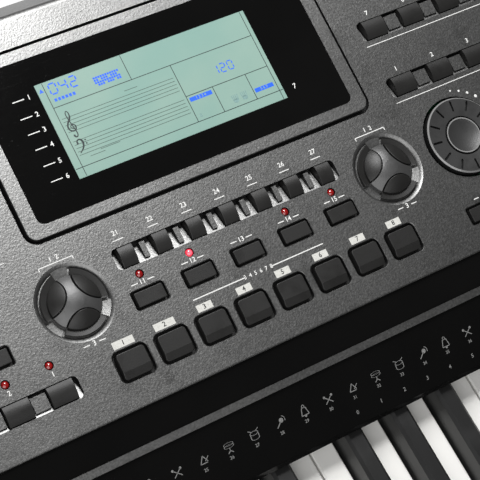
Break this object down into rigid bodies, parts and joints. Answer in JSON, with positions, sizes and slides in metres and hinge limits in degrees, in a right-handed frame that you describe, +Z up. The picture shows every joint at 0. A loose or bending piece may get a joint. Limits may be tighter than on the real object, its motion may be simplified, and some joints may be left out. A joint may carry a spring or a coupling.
{
  "type": "arranger keyboard",
  "caption": "Portable electronic keyboard with striking keys, a sloped control panel, pressing buttons, data dial, backlit display, loudspeakers and rear sockets",
  "frame": {"origin": "centre of the footprint, on the table under the feet", "axes": "+X to the player's right, +Y from the player to the back, +Z up"},
  "size_m": [1, 0.41, 0.1397],
  "materials": {
    "panel_plastic": "fine spark-grained dark grey moulding",
    "case_plastic": "textured near-black moulding",
    "black_gloss": "polished black",
    "display_glass": "backlit display, pale teal",
    "grille_metal": "satin black perforated sheet",
    "speaker_metal": "black basket and paper cone",
    "board": "green circuit board",
    "frame_plastic": "plain moulding",
    "socket_plastic": "black moulding",
    "foot_rubber": "matt black",
    "screw_steel": "zinc plated",
    "led_red": "clear red lens",
    "hub_gloss": "polished dark grey",
    "dial_plastic": "satin dark grey",
    "button_plastic": "satin dark grey",
    "wheel_rubber": "soft black",
    "key_white": "polished white",
    "key_black": "satin black"
  },
  "bodies": {
    "case": {"bottom_case": "case_plastic", "top_case": "panel_plastic", "end_blocks": "panel_plastic", "display_bezel": "panel_plastic", "display_window": "black_gloss", "lcd_panel": "display_glass", "key_fascia": "black_gloss", "speaker_grilles": "grille_metal", "speaker_drivers": "speaker_metal", "circuit_boards": "board", "key_frame": "frame_plastic", "rear_jacks": "socket_plastic", "rubber_feet": "foot_rubber", "case_screws": "screw_steel", "indicator_leds": "led_red", "cluster_hubs": "hub_gloss"},
    "keys_c": {"keys_c": "key_white"},
    "keys_c_sharp": {"keys_c_sharp": "key_black"},
    "memory_button_1": {"memory_button_1": "button_plastic"},
    "function_button_1": {"function_button_1": "button_plastic"},
    "track_button_1": {"track_button_1": "button_plastic"},
    "left_leaf_button_1": {"left_leaf_button_1": "button_plastic"},
    "data_dial": {"data_dial": "dial_plastic"},
    "volume_knob": {"volume_knob": "dial_plastic"},
    "pitch_wheel": {"pitch_wheel": "wheel_rubber"},
    "power_button": {"power_button": "button_plastic"},
    "left_panel_buttons": {"left_panel_buttons": "button_plastic"},
    "right_panel_buttons": {"right_panel_buttons": "button_plastic"},
    "keys_d": {"keys_d": "key_white"},
    "keys_d_sharp": {"keys_d_sharp": "key_black"},
    "keys_e": {"keys_e": "key_white"},
    "keys_f": {"keys_f": "key_white"},
    "keys_f_sharp": {"keys_f_sharp": "key_black"},
    "keys_g": {"keys_g": "key_white"},
    "keys_g_sharp": {"keys_g_sharp": "key_black"},
    "keys_a": {"keys_a": "key_white"},
    "keys_a_sharp": {"keys_a_sharp": "key_black"},
    "keys_b": {"keys_b": "key_white"},
    "left_leaf_button_2": {"left_leaf_button_2": "button_plastic"},
    "left_leaf_button_3": {"left_leaf_button_3": "button_plastic"},
    "right_leaf_button_1": {"right_leaf_button_1": "button_plastic"},
    "right_leaf_button_2": {"right_leaf_button_2": "button_plastic"},
    "right_leaf_button_3": {"right_leaf_button_3": "button_plastic"},
    "track_button_2": {"track_button_2": "button_plastic"},
    "track_button_3": {"track_button_3": "button_plastic"},
    "track_button_4": {"track_button_4": "button_plastic"},
    "track_button_5": {"track_button_5": "button_plastic"},
    "track_button_6": {"track_button_6": "button_plastic"},
    "track_button_7": {"track_button_7": "button_plastic"},
    "function_button_2": {"function_button_2": "button_plastic"},
    "function_button_3": {"function_button_3": "button_plastic"},
    "function_button_4": {"function_button_4": "button_plastic"},
    "function_button_5": {"function_button_5": "button_plastic"},
    "memory_button_2": {"memory_button_2": "button_plastic"},
    "memory_button_3": {"memory_button_3": "button_plastic"},
    "memory_button_4": {"memory_button_4": "button_plastic"},
    "memory_button_5": {"memory_button_5": "button_plastic"},
    "memory_button_6": {"memory_button_6": "button_plastic"},
    "memory_button_7": {"memory_button_7": "button_plastic"},
    "memory_button_8": {"memory_button_8": "button_plastic"}
  },
  "joints": [
    {"name": "keys_c_strike", "type": "hinge", "parent": "case", "child": "keys_c", "pos_m": [0.0175, 0.004, 0.06789], "axis": [1, 0, 0], "range_deg": [0, 3], "stiffness_Nm_per_rad": 4, "springref_deg": -5.73},
    {"name": "keys_c_sharp_strike", "type": "hinge", "parent": "case", "child": "keys_c_sharp", "pos_m": [0.0175, 0.004, 0.06789], "axis": [1, 0, 0], "range_deg": [0, 3], "stiffness_Nm_per_rad": 4, "springref_deg": -5.73},
    {"name": "memory_button_1_press", "type": "slide", "parent": "case", "child": "memory_button_1", "axis": [0, 0.1392, -0.9903], "range_m": [0, 0.001], "stiffness_N_per_m": 300, "springref_m": -0.001},
    {"name": "function_button_1_press", "type": "slide", "parent": "case", "child": "function_button_1", "axis": [0, 0.1392, -0.9903], "range_m": [0, 0.001], "stiffness_N_per_m": 300, "springref_m": -0.001},
    {"name": "track_button_1_press", "type": "slide", "parent": "case", "child": "track_button_1", "axis": [0, 0.1392, -0.9903], "range_m": [0, 0.001], "stiffness_N_per_m": 300, "springref_m": -0.001},
    {"name": "left_leaf_button_1_press", "type": "slide", "parent": "case", "child": "left_leaf_button_1", "axis": [0, 0.1392, -0.9903], "range_m": [0, 0.001], "stiffness_N_per_m": 300, "springref_m": -0.001},
    {"name": "data_dial_turn", "type": "hinge", "parent": "case", "child": "data_dial", "pos_m": [0.1334, 0.05565, 0.12107], "axis": [0, -0.1392, 0.9903], "continuous": true},
    {"name": "volume_knob_turn", "type": "hinge", "parent": "case", "child": "volume_knob", "pos_m": [-0.263, 0.05763, 0.12135], "axis": [0, -0.1392, 0.9903], "range_deg": [-140, 140]},
    {"name": "pitch_wheel_bend", "type": "hinge", "parent": "case", "child": "pitch_wheel", "pos_m": [-0.455, -0.1264, 0.06384], "axis": [1, 0, 0], "range_deg": [-40, 40], "stiffness_Nm_per_rad": 0.15},
    {"name": "power_button_press", "type": "slide", "parent": "case", "child": "power_button", "axis": [0, 0.1392, -0.9903], "range_m": [0, 0.0018], "stiffness_N_per_m": 300, "springref_m": -0.0015},
    {"name": "left_panel_buttons_press", "type": "slide", "parent": "case", "child": "left_panel_buttons", "axis": [0, 0.1392, -0.9903], "range_m": [0, 0.001], "stiffness_N_per_m": 3000, "springref_m": -0.001},
    {"name": "right_panel_buttons_press", "type": "slide", "parent": "case", "child": "right_panel_buttons", "axis": [0, 0.1392, -0.9903], "range_m": [0, 0.001], "stiffness_N_per_m": 3000, "springref_m": -0.001},
    {"name": "keys_d_strike", "type": "hinge", "parent": "case", "child": "keys_d", "pos_m": [0.0175, 0.004, 0.06789], "axis": [1, 0, 0], "range_deg": [0, 3], "stiffness_Nm_per_rad": 4, "springref_deg": -5.73},
    {"name": "keys_d_sharp_strike", "type": "hinge", "parent": "case", "child": "keys_d_sharp", "pos_m": [0.0175, 0.004, 0.06789], "axis": [1, 0, 0], "range_deg": [0, 3], "stiffness_Nm_per_rad": 4, "springref_deg": -5.73},
    {"name": "keys_e_strike", "type": "hinge", "parent": "case", "child": "keys_e", "pos_m": [0.0175, 0.004, 0.06789], "axis": [1, 0, 0], "range_deg": [0, 3], "stiffness_Nm_per_rad": 4, "springref_deg": -5.73},
    {"name": "keys_f_strike", "type": "hinge", "parent": "case", "child": "keys_f", "pos_m": [0.0175, 0.004, 0.06789], "axis": [1, 0, 0], "range_deg": [0, 3], "stiffness_Nm_per_rad": 4, "springref_deg": -5.73},
    {"name": "keys_f_sharp_strike", "type": "hinge", "parent": "case", "child": "keys_f_sharp", "pos_m": [0.0175, 0.004, 0.06789], "axis": [1, 0, 0], "range_deg": [0, 3], "stiffness_Nm_per_rad": 4, "springref_deg": -5.73},
    {"name": "keys_g_strike", "type": "hinge", "parent": "case", "child": "keys_g", "pos_m": [0.0175, 0.004, 0.06789], "axis": [1, 0, 0], "range_deg": [0, 3], "stiffness_Nm_per_rad": 4, "springref_deg": -5.73},
    {"name": "keys_g_sharp_strike", "type": "hinge", "parent": "case", "child": "keys_g_sharp", "pos_m": [0.0175, 0.004, 0.06789], "axis": [1, 0, 0], "range_deg": [0, 3], "stiffness_Nm_per_rad": 4, "springref_deg": -5.73},
    {"name": "keys_a_strike", "type": "hinge", "parent": "case", "child": "keys_a", "pos_m": [0.0175, 0.004, 0.06789], "axis": [1, 0, 0], "range_deg": [0, 3], "stiffness_Nm_per_rad": 4, "springref_deg": -5.73},
    {"name": "keys_a_sharp_strike", "type": "hinge", "parent": "case", "child": "keys_a_sharp", "pos_m": [0.0175, 0.004, 0.06789], "axis": [1, 0, 0], "range_deg": [0, 3], "stiffness_Nm_per_rad": 4, "springref_deg": -5.73},
    {"name": "keys_b_strike", "type": "hinge", "parent": "case", "child": "keys_b", "pos_m": [0.0175, 0.004, 0.06789], "axis": [1, 0, 0], "range_deg": [0, 3], "stiffness_Nm_per_rad": 4, "springref_deg": -5.73},
    {"name": "left_leaf_button_2_press", "type": "slide", "parent": "case", "child": "left_leaf_button_2", "axis": [0, 0.1392, -0.9903], "range_m": [0, 0.001], "stiffness_N_per_m": 300, "springref_m": -0.001},
    {"name": "left_leaf_button_3_press", "type": "slide", "parent": "case", "child": "left_leaf_button_3", "axis": [0, 0.1392, -0.9903], "range_m": [0, 0.001], "stiffness_N_per_m": 300, "springref_m": -0.001},
    {"name": "right_leaf_button_1_press", "type": "slide", "parent": "case", "child": "right_leaf_button_1", "axis": [0, 0.1392, -0.9903], "range_m": [0, 0.001], "stiffness_N_per_m": 300, "springref_m": -0.001},
    {"name": "right_leaf_button_2_press", "type": "slide", "parent": "case", "child": "right_leaf_button_2", "axis": [0, 0.1392, -0.9903], "range_m": [0, 0.001], "stiffness_N_per_m": 300, "springref_m": -0.001},
    {"name": "right_leaf_button_3_press", "type": "slide", "parent": "case", "child": "right_leaf_button_3", "axis": [0, 0.1392, -0.9903], "range_m": [0, 0.001], "stiffness_N_per_m": 300, "springref_m": -0.001},
    {"name": "track_button_2_press", "type": "slide", "parent": "case", "child": "track_button_2", "axis": [0, 0.1392, -0.9903], "range_m": [0, 0.001], "stiffness_N_per_m": 300, "springref_m": -0.001},
    {"name": "track_button_3_press", "type": "slide", "parent": "case", "child": "track_button_3", "axis": [0, 0.1392, -0.9903], "range_m": [0, 0.001], "stiffness_N_per_m": 300, "springref_m": -0.001},
    {"name": "track_button_4_press", "type": "slide", "parent": "case", "child": "track_button_4", "axis": [0, 0.1392, -0.9903], "range_m": [0, 0.001], "stiffness_N_per_m": 300, "springref_m": -0.001},
    {"name": "track_button_5_press", "type": "slide", "parent": "case", "child": "track_button_5", "axis": [0, 0.1392, -0.9903], "range_m": [0, 0.001], "stiffness_N_per_m": 300, "springref_m": -0.001},
    {"name": "track_button_6_press", "type": "slide", "parent": "case", "child": "track_button_6", "axis": [0, 0.1392, -0.9903], "range_m": [0, 0.001], "stiffness_N_per_m": 300, "springref_m": -0.001},
    {"name": "track_button_7_press", "type": "slide", "parent": "case", "child": "track_button_7", "axis": [0, 0.1392, -0.9903], "range_m": [0, 0.001], "stiffness_N_per_m": 300, "springref_m": -0.001},
    {"name": "function_button_2_press", "type": "slide", "parent": "case", "child": "function_button_2", "axis": [0, 0.1392, -0.9903], "range_m": [0, 0.001], "stiffness_N_per_m": 300, "springref_m": -0.001},
    {"name": "function_button_3_press", "type": "slide", "parent": "case", "child": "function_button_3", "axis": [0, 0.1392, -0.9903], "range_m": [0, 0.001], "stiffness_N_per_m": 300, "springref_m": -0.001},
    {"name": "function_button_4_press", "type": "slide", "parent": "case", "child": "function_button_4", "axis": [0, 0.1392, -0.9903], "range_m": [0, 0.001], "stiffness_N_per_m": 300, "springref_m": -0.001},
    {"name": "function_button_5_press", "type": "slide", "parent": "case", "child": "function_button_5", "axis": [0, 0.1392, -0.9903], "range_m": [0, 0.001], "stiffness_N_per_m": 300, "springref_m": -0.001},
    {"name": "memory_button_2_press", "type": "slide", "parent": "case", "child": "memory_button_2", "axis": [0, 0.1392, -0.9903], "range_m": [0, 0.001], "stiffness_N_per_m": 300, "springref_m": -0.001},
    {"name": "memory_button_3_press", "type": "slide", "parent": "case", "child": "memory_button_3", "axis": [0, 0.1392, -0.9903], "range_m": [0, 0.001], "stiffness_N_per_m": 300, "springref_m": -0.001},
    {"name": "memory_button_4_press", "type": "slide", "parent": "case", "child": "memory_button_4", "axis": [0, 0.1392, -0.9903], "range_m": [0, 0.001], "stiffness_N_per_m": 300, "springref_m": -0.001},
    {"name": "memory_button_5_press", "type": "slide", "parent": "case", "child": "memory_button_5", "axis": [0, 0.1392, -0.9903], "range_m": [0, 0.001], "stiffness_N_per_m": 300, "springref_m": -0.001},
    {"name": "memory_button_6_press", "type": "slide", "parent": "case", "child": "memory_button_6", "axis": [0, 0.1392, -0.9903], "range_m": [0, 0.001], "stiffness_N_per_m": 300, "springref_m": -0.001},
    {"name": "memory_button_7_press", "type": "slide", "parent": "case", "child": "memory_button_7", "axis": [0, 0.1392, -0.9903], "range_m": [0, 0.001], "stiffness_N_per_m": 300, "springref_m": -0.001},
    {"name": "memory_button_8_press", "type": "slide", "parent": "case", "child": "memory_button_8", "axis": [0, 0.1392, -0.9903], "range_m": [0, 0.001], "stiffness_N_per_m": 300, "springref_m": -0.001}
  ]
}
